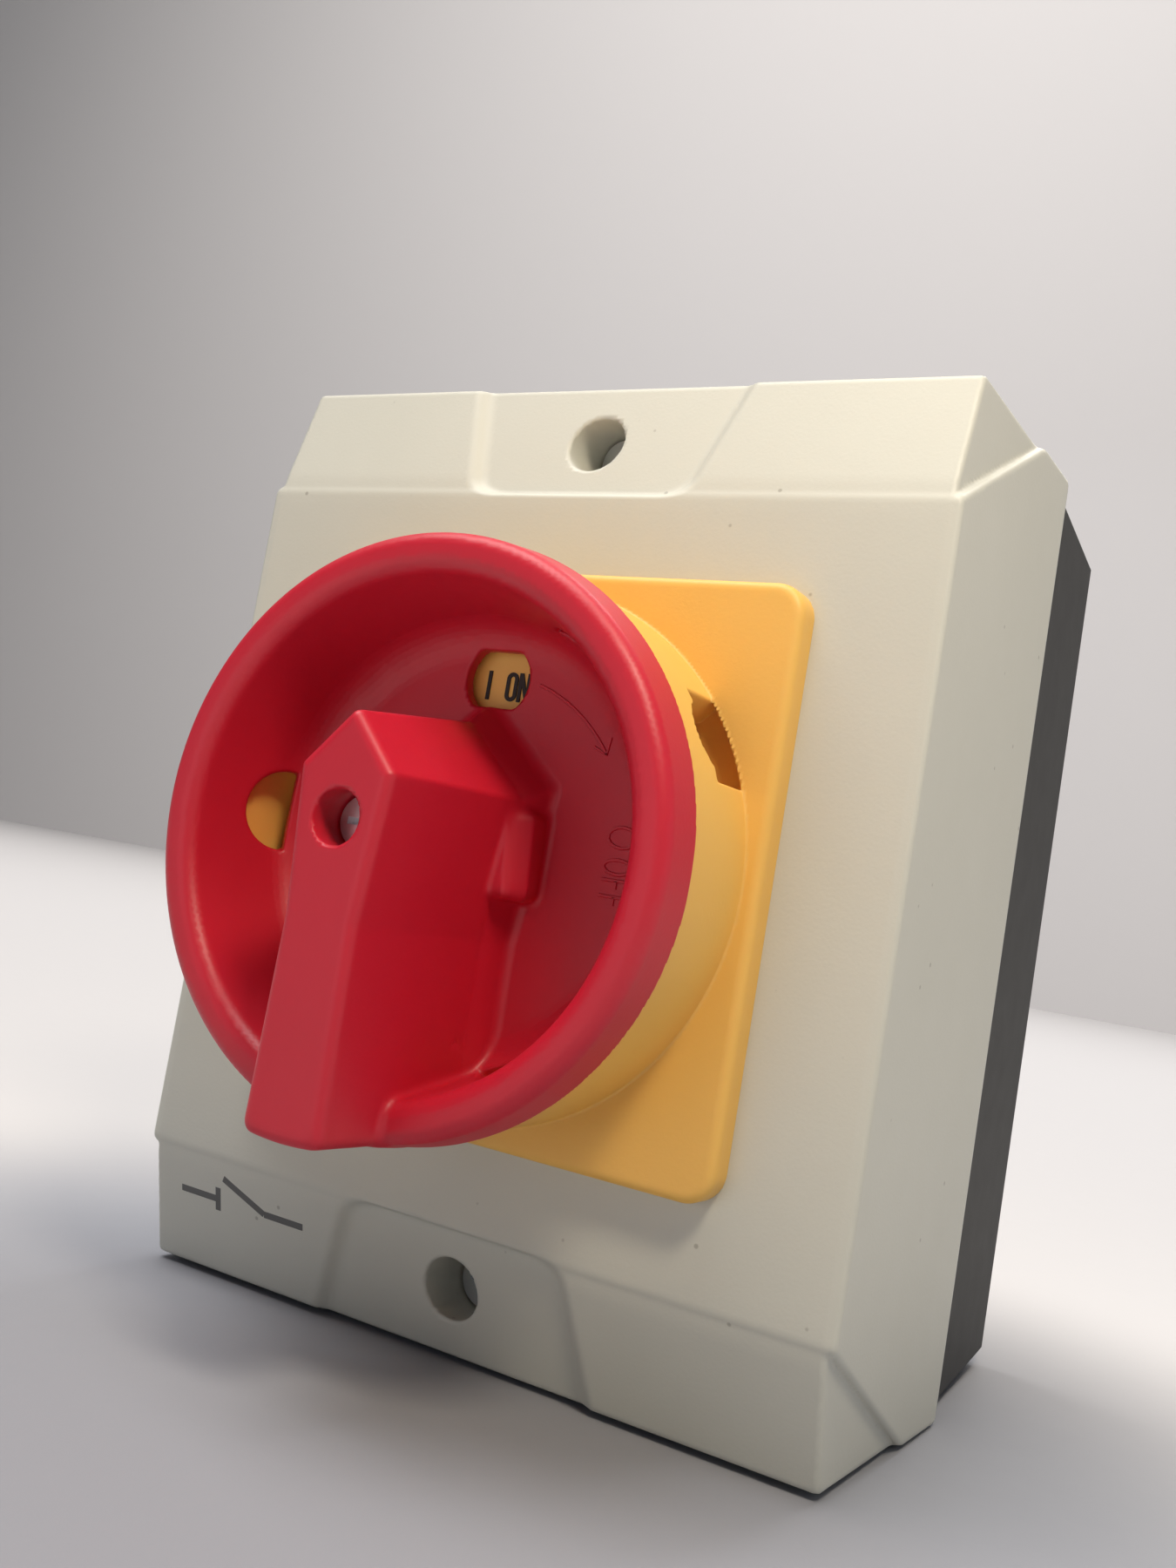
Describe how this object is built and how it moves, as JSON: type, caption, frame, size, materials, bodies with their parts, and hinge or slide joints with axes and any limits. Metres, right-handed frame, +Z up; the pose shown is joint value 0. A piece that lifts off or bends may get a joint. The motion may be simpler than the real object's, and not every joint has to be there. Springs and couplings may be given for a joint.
{
  "type": "rotary isolator switch",
  "caption": "Wall-mounted rotary isolator switch: red padlockable knob on a yellow plate, pale cover, black base, stacked rotary contacts inside.",
  "frame": {"origin": "centre of the flat wall face, midway between the four wall fixing holes", "axes": "+Z up along the height, +X to the right seen from the front, -Y out of the wall along the handle's axis"},
  "size_m": [0.094, 0.1076, 0.117],
  "materials": {
    "cover_grey": "pale warm grey, fine satin moulding",
    "base_black": "black-brown, fine satin moulding",
    "handle_red": "signal red, fine satin texture",
    "plate_yellow": "warm yellow, satin",
    "legend_ink": "printed ink",
    "seal_rubber": "matt",
    "zinc_steel": "bright zinc",
    "plain_steel": "turned",
    "terminal_brass": "turned",
    "contact_copper": "stamped copper alloy",
    "deck_black": "glass-filled moulding",
    "rotor_white": "off-white moulding"
  },
  "bodies": {
    "housing": {"rear_base": "base_black", "cover_gasket": "seal_rubber", "front_cover": "cover_grey", "cover_screws": "zinc_steel", "cover_screw_seals": "seal_rubber", "base_inserts": "terminal_brass", "entry_plugs": "seal_rubber", "earth_holder": "deck_black", "earth_bar": "terminal_brass", "earth_screws": "zinc_steel", "handle_plate": "plate_yellow", "plate_seal": "seal_rubber", "plate_screws": "zinc_steel", "on_legend": "legend_ink", "off_legend": "legend_ink", "mounting_foot": "deck_black", "foot_screws": "zinc_steel", "line_contacts": "contact_copper", "load_contacts": "contact_copper", "line_clamps": "zinc_steel", "load_clamps": "zinc_steel", "line_screws": "zinc_steel", "load_screws": "zinc_steel", "index_housing": "deck_black", "detent_rollers": "plain_steel", "detent_springs": "plain_steel", "stack_screws": "zinc_steel", "stack_nuts": "zinc_steel", "contact_deck_1": "deck_black", "contact_deck_2": "deck_black", "contact_deck_3": "deck_black", "contact_deck_4": "deck_black"},
    "handle": {"handle_knob": "handle_red", "handle_screw": "zinc_steel", "shaft_coupler": "plain_steel", "hub_seal": "seal_rubber", "retaining_ring": "plain_steel"},
    "rotor": {"drive_shaft": "plain_steel", "index_wheel": "rotor_white", "rotor_1": "rotor_white", "rotor_2": "rotor_white", "rotor_3": "rotor_white", "rotor_4": "rotor_white", "blade_1": "contact_copper", "blade_2": "contact_copper", "blade_3": "contact_copper", "blade_4": "contact_copper"}
  },
  "joints": [
    {"name": "handle_turn", "type": "hinge", "parent": "housing", "child": "handle", "pos_m": [0, -0.075, 0], "axis": [0, -1, 0], "range_deg": [0, 90]},
    {"name": "rotor_turn", "type": "hinge", "parent": "housing", "child": "rotor", "pos_m": [0, -0.03, 0], "axis": [0, -1, 0], "range_deg": [0, 90]}
  ],
  "couplings": [
    {"joint": "handle_turn", "follows": "rotor_turn", "ratio": 1}
  ]
}
